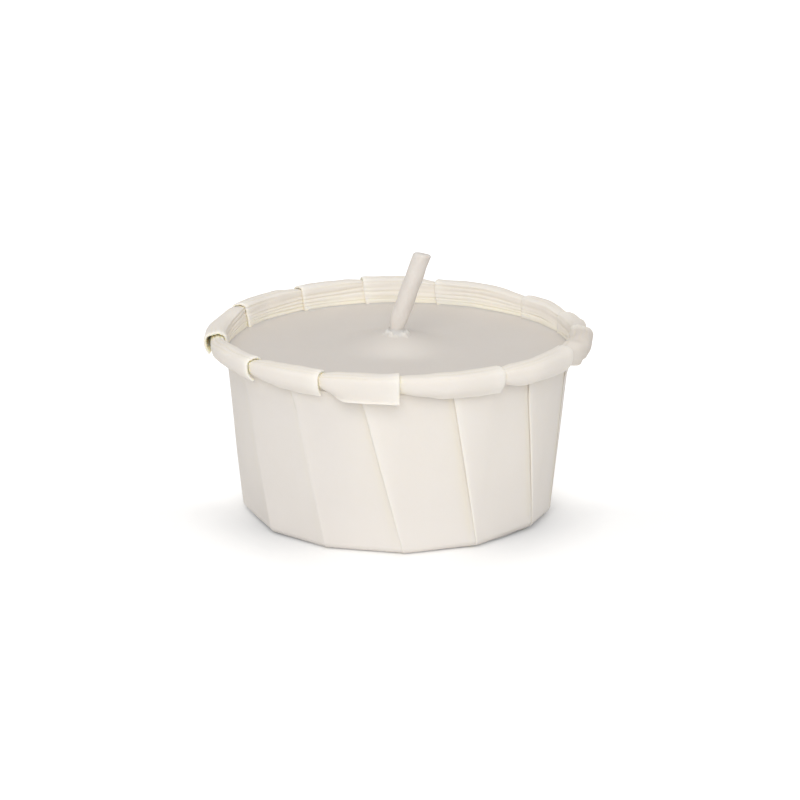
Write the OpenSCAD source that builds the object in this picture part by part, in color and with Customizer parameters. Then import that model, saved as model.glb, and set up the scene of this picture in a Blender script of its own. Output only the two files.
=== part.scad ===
// Tea light candle: wax cast in a pleated paper cup with a rolled rim, with a
// leaning waxed wick that stands in a stamped metal foot under the wax.
// The origin is at the middle of the cup's underside, +Z is up, and -Y is the front.
// Angles round the cup are counted counter-clockwise from the front.

/* [Paper cup] */
// Height from the table to the top of the rolled rim
cup_h = 20.5; // [15:0.5:28]
// Inside diameter of the wall, carried down to the underside
foot_d = 33.8; // [28:0.1:36]
// Inside diameter of the wall at the height of the roll's middle
mouth_d = 37.4; // [36:0.1:44]
// Radius of the bend between the bottom and the wall
foot_r = 0.9; // [0.8:0.1:3]
// Thickness of the paper
paper_t = 0.12; // [0.08:0.01:0.16]
// Air between the layers of a pleat
fold_gap = 0.04; // [0.03:0.01:0.06]

/* [Pleats and rim] */
// How far the panels between the pleats are pressed flat at the foot
flat_foot = 0.9; // [0:0.05:1]
// How far the panels between the pleats are pressed flat at the mouth
flat_mouth = 0.3; // [0:0.05:1]
// Outside radius of the rolled rim
roll_r = 1.12; // [0.95:0.01:1.5]
// Paper left past the outside of the roll
roll_tail = 1.8; // [1:0.1:2]

/* [Wax] */
// Drop from the top of the rim to the face of the wax
wax_drop = 2.9; // [1.5:0.1:6]
// Height of the mound that the wax makes round the wick
wax_mound = 1.2; // [0.2:0.1:2]
// How far the mound spreads from the wick
mound_reach = 7; // [4:0.5:10]
// Rise of the wax where it wets the paper
wax_meniscus = 0.1; // [0.05:0.05:0.4]
// Gap that the wax leaves as it shrinks
cast_gap = 0.03; // [0.02:0.01:0.05]

/* [Wick] */
// Diameter of the waxed wick
wick_d = 1.65; // [1.2:0.05:2.4]
// Length of the wick above the wax
wick_out = 8.9; // [4:0.1:14]
// Angle of the wick's upper length from upright
wick_lean = 22.5; // [2:0.5:40]
// Direction of the lean, counter-clockwise from +X
wick_turn = 28; // [0:1:359]
// Radius of the bend at the foot of the leaning length
wick_bend_r = 4; // [2:0.5:5]
// Place of the wick across the cup
wick_x = -0.2; // [-1:0.1:1]
// Place of the wick from front to back
wick_y = 2.2; // [-3:0.1:3]

/* [Wick foot] */
// Diameter of the stamped disc
disc_d = 12.5; // [9:0.5:16]
// Thickness of its tinplate
tin_t = 0.2; // [0.15:0.05:0.4]
// Height of the neck that grips the wick
neck_h = 3.4; // [2:0.1:6]
// Radius of the bend between the disc and the neck
neck_bend_r = 0.4; // [0.2:0.1:1]
// Gap between the neck and the wick
grip_gap = 0.02; // [0.01:0.01:0.05]

/* [Hidden] */
$fn = 64;

// Where each pleat starts at the foot and ends at the rim, in degrees from the front
pleat_foot_at = [2, 29, 57, 74, 98, 125, 157, 184, 209, 240, 277, 307, 333];
pleat_rim_at = [0, 32, 62, 88, 110, 132, 167, 192, 215, 243, 275, 310, 336];
// How much of the spare paper each pleat takes up
pleat_share = [1, 1.2, 1.3, 1.15, 0.8, 0.8, 1.15, 0.9, 0.85, 1, 1.1, 0.9, 1];
// How far the rolled edge springs open at each pleat, from 0, tight, to 1, hanging straight
pleat_spring = [1, 0.45, 0.3, 0.5, 0.3, 0.2, 0.2, 0.25, 0.2, 0.3, 0, 0.3, 0.4];
// How far the rim has sunk at each pleat, as a share of the wall above the wax
pleat_sink = [0, 0, 0, 0.11, 0.39, 0.28, 0.14, 0, 0.11, 0.14, 0.45, 0.08, 0];
// How much longer than the rest the rolled edge hangs at each pleat
pleat_longer = [0.4, 0.2, 0, 0, 0, 0, 0, 0, 0, 0, 0, 0, 0.1];
// How wide the roll is at each pleat, against the rest
pleat_roll = [1, 1, 1, 1.15, 1, 1, 1, 1, 1, 1, 1.25, 1, 1];
pleats = len(pleat_foot_at);

layer = paper_t + fold_gap;             // from one layer of a pleat to the next
stack = 2 * layer;                      // from the inner layer of a pleat to the outer one
turn_out = layer / 2 + paper_t / 2;     // how far the bend of a fold reaches past its crease
curl_r = roll_r - paper_t / 2;          // radius of the paper's middle in the roll

// The wall, as the middle of the innermost layer of paper
wall_r0 = foot_d / 2 + paper_t / 2;
taper = atan((mouth_d - foot_d) / 2 / (cup_h - roll_r));
wall_top_z = cup_h - paper_t / 2 - curl_r * (1 - sin(taper));
foot_end_z = paper_t / 2 + foot_r * (1 - sin(taper));
foot_end_r = wall_r0 + foot_end_z * tan(taper);
foot_mid_r = foot_end_r - foot_r * cos(taper);
foot_mid_z = paper_t / 2 + foot_r;
wall_end_r = wall_r0 + wall_top_z * tan(taper);

// Lengths along the paper, from the edge of the flat bottom
foot_end_s = foot_r * (90 - taper) * PI / 180;
wall_end_s = foot_end_s + (wall_top_z - foot_end_z) / cos(taper);
curl_top_s = wall_end_s + curl_r * (90 - taper) * PI / 180;
curl_end_s = wall_end_s + curl_r * PI;
edge_s = curl_end_s + roll_tail;

// The face of the wax and the crest where it meets the wick
wax_z = cup_h - wax_drop;
crest_z = wax_z + wax_mound;
wax_s = foot_end_s + (wax_z - foot_end_z) / cos(taper);
hold_s = wax_s + wax_meniscus;          // up to here the wax holds the paper in its place
above_wax = wall_end_s - hold_s;
wick_r = wick_d / 2;

// The tinplate foot, standing on the paper
tin_z = paper_t;
neck_in_r = wick_r + grip_gap;
neck_out_r = neck_in_r + tin_t;
neck_z = tin_z + neck_h;

function lerp(a, b, t) = a + (b - a) * t;
function within(x) = min(1, max(0, x));
function polar(r, at) = [r * sin(at), -r * cos(at)];
function deg(arc, r) = arc / r * 180 / PI;

// A point on the middle of the paper at length s, and the paper's heading there in the
// plane through the axis. The tail past the roll curls on, or springs open by spring.
function paper_line(s, spring) =
    s < foot_end_s ?
        let (bend = s / foot_r * 180 / PI)
        [foot_mid_r + foot_r * sin(bend), foot_mid_z - foot_r * cos(bend), bend] :
    s < wall_end_s ?
        let (up = s - foot_end_s)
        [foot_end_r + up * sin(taper), foot_end_z + up * cos(taper), 90 - taper] :
    s < curl_end_s ?
        curl_line((s - wall_end_s) / curl_r * 180 / PI) :
        tail_line(s - curl_end_s, (1 - spring) / curl_r);

function curl_line(bend) =
    let (from = 180 - taper - bend)
    [wall_end_r + curl_r * (cos(taper) + cos(from)),
     wall_top_z + curl_r * (sin(from) - sin(taper)),
     90 - taper - bend];

tight_least = 0.02; // a tail this straight is worked out as a very wide bend
function tail_line(run, curve) =
    let (start = curl_line(180),
         bent = max(tight_least, curve),
         heading = start[2] - run * bent * 180 / PI)
    [start[0] + (sin(start[2]) - sin(heading)) / bent,
     start[1] - (cos(start[2]) - cos(heading)) / bent,
     heading];

// The same point on paper of a form [spring, sink, longer, roll], moved off the paper's middle,
// outwards on the wall and inwards in the roll. Above the wax the wall slides down by sink, the
// roll and the tail swell from the top of the wall by roll, and the tail is stretched by longer.
plain_form = [0, 0, 0, 1];
function off_paper(s, form, off) =
    let (p = paper_line(s + form[2] * within((s - curl_end_s) / roll_tail), form[0]),
         swell = s > wall_end_s ? form[3] : 1,
         down = form[1] * within((s - hold_s) / above_wax))
    [lerp(wall_end_r, p[0], swell) + off * sin(p[2]) - down * sin(taper),
     lerp(wall_top_z, p[1], swell) - off * cos(p[2]) - down * cos(taper)];

// Pleat k at length s: the angle of its inner crease, and the depth of its fold. The sheet
// was a flat disc, and the pleats share out all that it has spare at that length.
function rim_share(s) = within(s / wall_end_s);
function crease_at(k, s) =
    lerp(pleat_foot_at[k % pleats], pleat_rim_at[k % pleats], rim_share(s)) + 360 * floor(k / pleats);
function spare_each(s) = PI * (foot_mid_r + s - paper_line(s, 0)[0]) / pleats;
function fold_depth(k, s) = spare_each(s) * pleat_share[k % pleats] * pleats / sum(pleat_share);
function fold_angle(k, s) = deg(fold_depth(k, s), paper_line(s, 0)[0]);
function sum(list, i = 0) = i < len(list) ? list[i] + sum(list, i + 1) : 0;

// The cup's sides are pressed towards flat between the outer creases, so the radius dips
// between two of these corners
function corner_at(k, s) = crease_at(k, s) - fold_angle(k, s);
function flat_share(s) = lerp(flat_foot, flat_mouth, rim_share(s));
function dip(k, at, s) =
    let (a = corner_at(k, s), b = corner_at(k + 1, s), w = within((at - a) / (b - a)))
    1 - flat_share(s) * (1 - cos((b - a) / 2)) * 4 * w * (1 - w);

// The panel from pleat k to pleat k + 1 comes off the outer layer and settles to the inner one
panel_shares = [0, 0.3, 0.65, 1];
panel_levels = [1, 0.4, 0.1, 0];
function panel_at(k, s, i) = lerp(crease_at(k, s), corner_at(k + 1, s), panel_shares[i]);

// The roll springs open along each panel, most of all where its next pleat lies outermost
bend_shares = [0, 0.5, 1];
// Shares of a pleat's spring: where its panel comes out of the fold, at the end of the panel
// before it, on its three layers from the inside out, and at its outer crease
start_spring = 0.1;
settled_spring = 0.7;
layer_springs = [0.9, 0.65, 0.2];
crease_spring = 0.3;
settle_power = 1.5; // how late along the panel the spring comes

// The paper's form at pleat k for a share of its spring, and along the panel to pleat k + 1. The
// edge hangs longer by the same share
function form_at(k, share) =
    let (i = k % pleats)
    [share * pleat_spring[i], above_wax * pleat_sink[i], share * pleat_longer[i], pleat_roll[i]];
function panel_form(k, i) =
    let (from = form_at(k, start_spring), to = form_at(k + 1, settled_spring),
         opened = lerp(from, to, pow(panel_shares[i], settle_power)),
         even = lerp(from, to, panel_shares[i]))
    [opened[0], even[1], opened[2], even[3]];

// How far a fold's two bends lie on either side of its crease when they turn by turn and
// lift the paper by lift, as [inner bend, outer bend]. At the foot the folds open out.
open_reach = 0.5;
open_run = 0.4; // length that each bend takes up in the flat bottom
side_room = 0.15; // between a fold that is opening out and the stations beside it
function bend_places(k, s, turn, lift) =
    turn == 0 ? [-open_reach, open_reach] :
    turn == 180 ? [0, -fold_depth(k, s)] :
        let (half = layer / 2,
             rise = max(0, lift - 2 * half * (1 - cos(turn))),
             reach = half * sin(turn) + rise * cos(turn) / sin(turn) / 2)
        [-reach, reach];

// Stations round the cup, each [angle, level, normal along, normal out, form]. One pleat
// is a panel, the inner layer of the fold, a bend back at the inner crease, the layer that
// runs back, a bend forward at the outer crease, and the outer layer over them both.
function layer_station(k, s, turn, lift, level) =
    let (place = bend_places(k, s, turn, lift), r = paper_line(s, 0)[0], shut = turn == 180,
         across = shut ? (place[0] + place[1]) / 2 :
             level == 0 ? place[0] - side_room : level == 2 ? place[1] + side_room : 0,
         back = level == 1 ? turn : 0)
    [crease_at(k, s) + deg(across, r), level * lift / 2, -sin(back), cos(back),
     form_at(k, layer_springs[level])];

function panel_stations(k, s, turn, lift) =
    let (r = paper_line(s, 0)[0],
         from = crease_at(k, s) + deg(bend_places(k, s, turn, lift)[1] + 2 * side_room, r),
         to = crease_at(k + 1, s) + deg(bend_places(k + 1, s, turn, lift)[0] - 2 * side_room, r))
    [for (i = [0 : len(panel_shares) - 1])
        [turn == 180 ? panel_at(k, s, i) : lerp(from, to, panel_shares[i]), lift * panel_levels[i],
         0, 1, panel_form(k, i)]];

function fold_stations(k, s, turn, lift) =
    let (a = crease_at(k, s), r = paper_line(s, 0)[0], place = bend_places(k, s, turn, lift),
         half = turn == 0 ? 0 : layer / 2, run = turn == 0 ? open_run : 0)
    concat(
        [layer_station(k, s, turn, lift, 0)],
        [for (i = bend_shares)
            let (b = turn * i)
            [a + deg(place[0] + run * i + half * sin(b), r), half * (1 - cos(b)),
             -sin(b), cos(b), form_at(k, 1)]],
        [layer_station(k, s, turn, lift, 1)],
        [for (i = bend_shares)
            let (b = turn * (1 - i))
            [a + deg(place[1] - run * (1 - i) - half * sin(b), r), lift - half * (1 - cos(b)),
             -sin(b), cos(b), form_at(k, crease_spring)]],
        [layer_station(k, s, turn, lift, 2)]);

function cup_stations(s, turn, lift) = [
    for (k = [0 : pleats - 1])
        each concat(panel_stations(k, s, turn, lift), fold_stations(k + 1, s, turn, lift))];

// One face of the paper at ring q: side is 1 for the outer face and -1 for the inner one
function skin_ring(q, side) = [
    for (st = cup_stations(q[0], q[1], q[2]))
        let (p = off_paper(q[0], st[4], st[1] + side * st[3] * paper_t / 2),
             at = st[0] + deg(side * st[2] * paper_t / 2, p[0]),
             r = p[0] * dip_at(at, q[0]))
        [each polar(r, at), p[1]]];

// The dip of whichever side an angle lies on
function dip_at(at, s) =
    let (turn = at - 360 * floor((at - corner_at(0, s)) / 360),
         k = max([0, for (i = [0 : pleats - 1]) if (corner_at(i, s) <= turn) i]))
    dip(k, turn, s);

// Rings of the paper, each [length, turn of the folds' bends, lift of the pleats]. Round the
// foot the folds open where their layers would reach below the underside.
function clear_s(lift, spare) =
    (acos((foot_r + paper_t / 2) / (foot_r + lift + paper_t / 2)) + spare) * PI / 180 * foot_r;
open_more = 0.05; // share of a layer by which half-open folds stand clear of each other
open_lift = (1 + open_more) * layer;
open_spare = 2; // degrees past the place where the half-open folds just clear the underside
shut_spare = 3; // and the same for the shut ones
open_s = clear_s(open_lift, open_spare);
shut_s = clear_s(stack, shut_spare);
wall_stops = 3;
rise_stops = 3;
fall_stops = 3;
tail_stops = 3;
paper_rings = concat(
    [[0, 0, 0], [open_s, 90, open_lift], [shut_s, 180, stack]],
    [for (i = [0 : wall_stops]) [lerp(foot_end_s, hold_s, i / wall_stops), 180, stack]],
    [for (i = [0 : rise_stops]) [lerp(wall_end_s, curl_top_s, i / rise_stops), 180, stack]],
    [for (i = [1 : fall_stops]) [lerp(curl_top_s, curl_end_s, i / fall_stops), 180, stack]],
    [for (i = [1 : tail_stops]) [lerp(curl_end_s, edge_s, i / tail_stops), 180, stack]]);

// Triangles between two rings of n points, each quad split along its shorter diagonal, and
// wound so that the outside faces away
function band(points, from_a, from_b, n) = [
    for (i = [0 : n - 1])
        let (a = from_a + i, b = from_b + i, c = from_b + (i + 1) % n, d = from_a + (i + 1) % n)
        each norm(points[a] - points[c]) < norm(points[b] - points[d]) ?
            [[a, b, c], [a, c, d]] :
            [[a, b, d], [b, c, d]]];
function fan(centre, ring, n, up) = [
    for (i = [0 : n - 1])
        let (j = (i + 1) % n)
        up ? [centre, ring + j, ring + i] : [centre, ring + i, ring + j]];
function reversed(faces) = [for (f = faces) [f[0], f[2], f[1]]];

// One sheet of paper, folded: its outer face from the bottom to the free edge, and its
// inner face back again, joined along that edge
module paper_cup() {
    n = len(cup_stations(0, 0, 0));
    rings = len(paper_rings);
    outer = [for (q = paper_rings) each skin_ring(q, 1)];
    inner = [for (q = paper_rings) each skin_ring(q, -1)];
    inner_from = n * rings;
    under = 2 * n * rings;
    points = concat(outer, inner, [[0, 0, 0], [0, 0, paper_t]]);
    faces = concat(
        [for (j = [0 : rings - 2]) each band(points, n * j, n * (j + 1), n)],
        [for (j = [0 : rings - 2])
            each reversed(band(points, inner_from + n * j, inner_from + n * (j + 1), n))],
        band(points, n * (rings - 1), inner_from + n * (rings - 1), n),
        fan(under, 0, n, false),
        fan(under + 1, inner_from, n, true));
    color("ivory") polyhedron(points, faces, convexity = 10);
}

// The edge of the wax at length s, each station [angle, level]. It fills each step of the
// pleats on the inside of the cup, or runs past them where follow is 0.
step_slant = 0.05; // degrees
twist_room = 0.006; // more room than the gap, for the twist of the panels up the cup
foot_room = 0.06; // more room at the foot, where the wax runs past the pleats
function wax_edge(s, follow) =
    let (r = paper_line(s, 0)[0], past = deg(turn_out + cast_gap, r))
    [for (k = [0 : pleats - 1])
        let (gone = past / (panel_at(k, s, 1) - panel_at(k, s, 0)), next = crease_at(k + 1, s))
        each concat(
            [[crease_at(k, s) + past, 0],
             [crease_at(k, s) + past + step_slant, follow * stack * lerp(1, panel_levels[1], gone)]],
            [for (i = [1 : len(panel_shares) - 1]) [panel_at(k, s, i), follow * stack * panel_levels[i]]],
            [[next - fold_angle(k + 1, s) / 2, 0], [next, 0]])];

function wax_ring(s, follow) = [
    for (st = wax_edge(s, follow))
        let (room = cast_gap + twist_room + foot_room * (1 - follow),
             p = off_paper(s, plain_form, st[1] - paper_t / 2 - room))
        [each polar(p[0] * dip_at(st[0], s), st[0]), p[1]]];

// The face of the wax: level inside a narrow rise at the paper, then a mound at the wick
rise_w = 0.5; // width of that rise
rise_h = 1; // the wax follows the pleats up to this far below its edge, then runs straight
mound_shares = [1, 0.7, 0.4, 0.2];
crest_w = 0.4; // width of the crest round the wick
crest_r = wick_r + crest_w;
cut_past = 1; // how far the bore for the wick is cut past the crest
function level_ring() = [
    for (p = wax_ring(wax_s, 0))
        let (r = norm([p[0], p[1]]))
        [p[0] * (r - rise_w) / r, p[1] * (r - rise_w) / r, wax_z]];
function mound_ring(r, z) =
    let (n = len(wax_edge(wax_s, 1)))
    [for (i = [0 : n - 1]) [wick_x, wick_y, z] + [each polar(r, 360 * i / n), 0]];
function mound_z(share) = wax_z + wax_mound * (1 + cos(180 * share)) / 2;

module wax_block() {
    wall = concat(
        [for (q = paper_rings) if (q[0] < foot_end_s) wax_ring(q[0], 0)],
        [for (q = paper_rings) if (q[0] >= foot_end_s && q[0] < wax_s - rise_h) wax_ring(q[0], 1)],
        [wax_ring(hold_s, 1)]);
    face = concat(
        [level_ring()],
        [for (q = mound_shares) mound_ring(lerp(crest_r, mound_reach, q), mound_z(q))],
        [mound_ring(crest_r, crest_z)]);
    rings = concat(wall, face);
    n = len(rings[0]);
    low = n * len(rings);
    points = concat([for (q = rings) each q], [[0, 0, rings[0][0][2]], [wick_x, wick_y, crest_z]]);
    faces = concat(
        [for (j = [0 : len(rings) - 2]) each band(points, n * j, n * (j + 1), n)],
        fan(low, 0, n, false),
        fan(low + 1, low - n, n, true));
    polyhedron(points, faces, convexity = 4);
}

// The outline of the wick foot in its own plane, grown by room on every side but the underside
function foot_outline(room) =
    let (bend = neck_bend_r - room, x = neck_out_r + neck_bend_r, z = tin_z + tin_t + neck_bend_r)
    concat(
        [[neck_in_r, tin_z], [disc_d / 2 + room, tin_z], [disc_d / 2 + room, tin_z + tin_t + room]],
        [for (b = [270 : -15 : 180]) [x + bend * cos(b), z + bend * sin(b)]],
        [[neck_out_r + room, neck_z + room], [neck_in_r, neck_z + room]]);

module wax() {
    color("gainsboro") difference() {
        wax_block();
        translate([wick_x, wick_y, 0]) {
            cylinder(r = wick_r + cast_gap, h = crest_z + cut_past);
            rotate_extrude() polygon(foot_outline(cast_gap));
        }
    }
}

module wick_foot() {
    color("silver") translate([wick_x, wick_y, 0]) rotate_extrude() polygon(foot_outline(0));
}

// The wick stands upright in its foot and in the wax, then bends over and leans. Its coat is
// a little thinner on the bend, whose ends run into both lengths.
bend_thin = 0.02;
bend_over = 1; // degrees
module wick() {
    bend_len = wick_bend_r * wick_lean * PI / 180;
    color("whitesmoke") translate([wick_x, wick_y, 0]) rotate([0, 0, wick_turn]) {
        translate([0, 0, tin_z]) cylinder(r = wick_r, h = crest_z - tin_z);
        translate([wick_bend_r, 0, crest_z]) {
            rotate([90, 0, 0])
                rotate_extrude(start = 180 - wick_lean - bend_over, angle = wick_lean + 2 * bend_over)
                    translate([wick_bend_r, 0]) circle(r = wick_r - bend_thin);
            rotate([0, wick_lean, 0])
                translate([-wick_bend_r, 0, 0]) cylinder(r = wick_r, h = wick_out - bend_len);
        }
    }
}

paper_cup();
wax();
wick();
wick_foot();
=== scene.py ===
import math
import bpy
import numpy as np
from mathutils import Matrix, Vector


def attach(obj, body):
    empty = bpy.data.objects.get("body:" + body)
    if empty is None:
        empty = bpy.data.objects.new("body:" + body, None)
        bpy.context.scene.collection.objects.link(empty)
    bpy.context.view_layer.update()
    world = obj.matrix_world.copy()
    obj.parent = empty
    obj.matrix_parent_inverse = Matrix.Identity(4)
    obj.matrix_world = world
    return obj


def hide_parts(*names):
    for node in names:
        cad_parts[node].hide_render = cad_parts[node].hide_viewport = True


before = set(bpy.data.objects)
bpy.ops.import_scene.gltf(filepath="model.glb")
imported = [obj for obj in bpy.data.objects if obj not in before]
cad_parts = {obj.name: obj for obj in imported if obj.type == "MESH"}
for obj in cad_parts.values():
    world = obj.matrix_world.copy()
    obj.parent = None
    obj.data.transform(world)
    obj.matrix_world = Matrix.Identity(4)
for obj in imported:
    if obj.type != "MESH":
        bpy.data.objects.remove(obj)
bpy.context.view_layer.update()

mm = 0.001
print("frame loaded")


def smooth(x):                                # 0 below 0, 1 above 1, with level ends
    x = np.clip(x, 0, 1)
    return x * x * (3 - 2 * x)


def waves(theta, s, seed, turns, rise, count):
    # a sum of sine waves: each goes a whole number of times round and some times along, at random phases
    pick = np.random.default_rng(seed)
    total = np.zeros(np.broadcast(theta, s).shape)
    for m, k, p, a in zip(pick.integers(2, turns, count), pick.uniform(-rise, rise, count),
                          pick.uniform(0, 2 * math.pi, count), pick.uniform(0.4, 1, count)):
        total = total + a * np.sin(m * theta + k * s + p)
    return total / math.sqrt(count)


def makeMesh(name, points, faces, attributes=None, sharp=70):
    mesh = bpy.data.meshes.new(name)
    mesh.from_pydata((points * mm).tolist(), [], faces)
    mesh.validate()
    mesh.polygons.foreach_set("use_smooth", np.ones(len(mesh.polygons), bool))
    mesh.set_sharp_from_angle(angle=math.radians(sharp))
    for key, values in (attributes or {}).items():
        mesh.attributes.new(key, "FLOAT", "POINT").data.foreach_set("value", values.astype(np.float32))
    piece = bpy.data.objects.new(name, mesh)
    bpy.context.scene.collection.objects.link(piece)
    return piece


def ringFaces(rows, n, start=0, flip=False):
    # quads between each row of n points and the next, closed round
    j, i = np.meshgrid(np.arange(rows - 1), np.arange(n), indexing="ij")
    a = start + j * n + i
    d = start + j * n + (i + 1) % n
    quads = np.stack([a, d, d + n, a + n], -1).reshape(-1, 4)
    return (quads[:, ::-1] if flip else quads).tolist()


def fanFaces(centre, first, n, flip=False):
    i = np.arange(n)
    tris = np.stack([np.full(n, centre), first + (i + 1) % n, first + i], -1)
    return (tris[:, ::-1] if flip else tris).tolist()


# The paper cup

# Lengths in the dictionaries are millimetres. Angles are degrees, counter-clockwise from the front as seen
# from above. A list has one value for each pleat.
cup = {
    "height": 20.5, "footDiameter": 33.8, "mouthDiameter": 37.4, "footBend": 0.9,
    "paper": 0.12, "foldGap": 0.04,
    "flatFoot": 0.9, "flatMouth": 0.3,        # how far the sides are pressed flat between pleats
    "rollRadius": 1.12, "tail": 1.8,
    "waxDrop": 2.9,                           # how far below the rim the wax ends
    "pleatFoot": [2, 29, 57, 74, 98, 125, 157, 184, 209, 240, 277, 307, 333],
    "pleatRim": [0, 32, 62, 88, 110, 132, 167, 192, 215, 243, 275, 310, 336],
    "pleatShare": [1, 1.2, 1.3, 1.15, 0.8, 0.8, 1.15, 0.9, 0.85, 1, 1.1, 0.9, 1],
    # how far each rolled piece springs open, grows past its radius, hangs longer and sits lower
    "spring": [1, 0.45, 0.3, 0.5, 0.3, 0.2, 0.2, 0.25, 0.2, 0.3, -0.1, 0.3, 0.4],
    "grow": [0.05, 0.05, 0.1, 0.15, 0.1, 0.05, 0.05, 0.05, 0.05, 0.05, 0.25, 0.05, 0.05],
    "longer": [0.1, 0.2, 0, 0, 0, 0, 0, 0, 0, 0, 0.1, 0, 0.1],
    "lower": [0, 0, 0, 0.2, 0.7, 0.5, 0.25, 0, 0.2, 0.25, 0.8, 0.15, 0],
    # how far the foot bend lies off the table, highest at heelAt of the bend, and how far that reaches
    "heel": [0, 0.15, 0.35, 0.35, 0.2, 0, 0, 0, 0, 0, 0, 0, 0],
    "heelAt": 0.6, "heelBelow": 0.5, "heelAbove": 2, "heelTurn": 0.1,
    # how far the free edge of each fold stands off the wall, and the share of it left past the fold
    "puff": [0.06, 0.06, 0.03, 0, 0.02, 0.02, 0.02, 0.02, 0.02, 0.02, 0.02, 0, 0],
    "puffPast": 0.25,
    # how strong the painted yellow shade on the wall beside each fold is, how pale the painted highlight on
    # the fold's edge is and how golden the painted light inside it is, and how fast the painted yellow shade
    # and the painted gold fade along a panel or a fold
    "glow": [0.6, 1, 0.9, 1, 0.7, 0.6, 0.6, 0.6, 0.6, 0.6, 0.3, 0.1, 0.1],
    "shine": [1, 1, 0.3, 0.1, 0.3, 0.3, 0.3, 0.3, 0.3, 0.3, 0.2, 0.1, 0.3],
    "foldPaintedGold": [0.8, 0.8, 0.5, 0.5, 0.5, 0.4, 0.4, 0.4, 0.35, 0.6, 1, 1, 1],
    "bandShadeFall": 14, "paintedGoldFall": (35, 3, 25),
    "endShadeAt": 80, "endShadeWidth": 15,            # painted shade on the crumpled end of the roll
    # painted shade along the score lines, painted golden light in the roll, painted light at the foot, a
    # painted highlight on the roll's ridge, and how far the painted highlight at the free edge reaches
    "lineShade": 0.45, "rollPaintedGold": 0.6, "footPaintedLight": 0.5, "ridgeHighlight": 0.5, "edgeReach": 0.12,
    "lowPaintedGold": 0.38, "lowReach": 0.9,         # how strong the painted golden light is on the inner wall just above the wax, and how far it reaches
    # how far each panel rounds out above the foot, the most of that, and the height that it takes
    "soft": [0, 0, 0, 0, 0, 0, 0.2, 0.3, 0.3, 0.5, 0.8, 0.8, 0.5],
    "softMost": 0.8, "softReach": 5,
    "squash": 0.15,                           # how much tighter the roll bends at its top than at its sides
    "corners": 0.85,                          # and at the two shoulders of its flattened top
    "lip": 0.5, "lipTurn": 55,                # the free edge flares out over this length
    # the folds are pressed to these shares of their thickness at the foot and from thinReach above it, up
    # to thinTop below the wax's face, and each to its own share of that on the wall
    "thinAtFoot": 0.3, "thinAbove": 0.65, "thinReach": 9, "thinTop": 2,
    "press": [1, 1, 0.8, 0.35, 0.8, 0.8, 0.8, 0.8, 0.8, 0.8, 0.5, 0.3, 0.3],
    "shoulder": 2.6,                          # how fast a panel comes down from the fold before it
    # in the flat bottom the folds are open: how high, and how far each side reaches from the crease
    "openLift": 1.05, "openReach": 0.5, "openRun": 0.4, "openRoom": 0.3,
    "openSpare": 2, "shutSpare": 3,           # how far past the place where they clear the table they start
    # score lines, measured along the paper up from the wax
    "crimps": [0.5, 0.9, 1.45, 1.9, 2.5, 3.2, 3.85, 4.3],
    "crimpDepth": 0.09, "crimpWidth": 0.1, "crimpStray": 0.1, "straySeed": 20, "pressSeed": 40,
    # dents and ripples as a depth and the last four values of waves. crush names the angle, half width
    # and depth of the places that are dented most
    "ripple": (0.02, 3, 40, 0.8, 12), "rollRipple": (0.02, 4, 60, 1.5, 12), "dent": (0.035, 9, 34, 1.2, 9),
    "crush": [(84, 17, 0.32), (275, 9, 0.14), (248, 6, 0.08)],
    "crushWaves": (12, 30, 2.2, 5), "crushLevel": 0.7,
    "ridgeAt": 0.75, "ridge": 0.05, "ridgeWidth": 0.11,   # a pinched ridge on the inner shoulder of the roll
    "panelSteps": 14, "sideSteps": 8, "innerSteps": 3, "outerSteps": 5, "bendSteps": 4, "lineSteps": 1600,
}

layer = cup["paper"] + cup["foldGap"]
stack = 2 * layer
openLift = cup["openLift"] * layer
curlR = cup["rollRadius"] - cup["paper"] / 2
taper = math.atan((cup["mouthDiameter"] - cup["footDiameter"]) / 2 / (cup["height"] - cup["rollRadius"]))
wallTopZ = cup["height"] - cup["paper"] / 2 - curlR * (1 - math.sin(taper))
footEndZ = cup["paper"] / 2 + cup["footBend"] * (1 - math.sin(taper))
footEndR = cup["footDiameter"] / 2 + cup["paper"] / 2 + footEndZ * math.tan(taper)
footMidR = footEndR - cup["footBend"] * math.cos(taper)
footEndS = cup["footBend"] * (math.pi / 2 - taper)
wallEndS = footEndS + (wallTopZ - footEndZ) / math.cos(taper)
edgeS = wallEndS + math.pi * curlR + cup["tail"]
waxZ = cup["height"] - cup["waxDrop"]
waxS = footEndS + (waxZ - footEndZ) / math.cos(taper)
pleats = len(cup["pleatFoot"])


def pleatList(key):                           # a list of the cup's, one step longer, to run once round
    values = np.array(cup[key], float)
    return np.append(values, values[0])


creaseFoot = pleatList("pleatFoot") + np.append(np.zeros(pleats), 360)
creaseRim = pleatList("pleatRim") + np.append(np.zeros(pleats), 360)
foldShare = pleatList("pleatShare") * pleats / sum(cup["pleatShare"])


def cupStations():
    # one pleat is a panel, the inner layer of the fold, a bend back, the layer that runs back, a bend
    # forward and the outer layer. t runs from 0 to 1 along each of these
    counts = [cup["panelSteps"], cup["sideSteps"], cup["bendSteps"], cup["innerSteps"], cup["bendSteps"],
              cup["outerSteps"]]
    kind = np.repeat(np.arange(6), counts)
    t = np.concatenate([
        np.arange(counts[0]) / counts[0], np.arange(counts[1]) / counts[1], np.linspace(0, 1, counts[2]),
        np.arange(1, counts[3] + 1) / (counts[3] + 1), np.linspace(0, 1, counts[4]),
        np.arange(1, counts[5] + 1) / (counts[5] + 1)])
    pleat = np.repeat(np.arange(pleats), len(kind))
    return np.tile(kind, pleats), np.tile(t, pleats), pleat


kind, along, pleat = cupStations()
none = 0 * along
columns = len(kind)


def byKind(*values):                          # one value for each kind of station
    return np.select([kind == i for i in range(6)], values)


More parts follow.
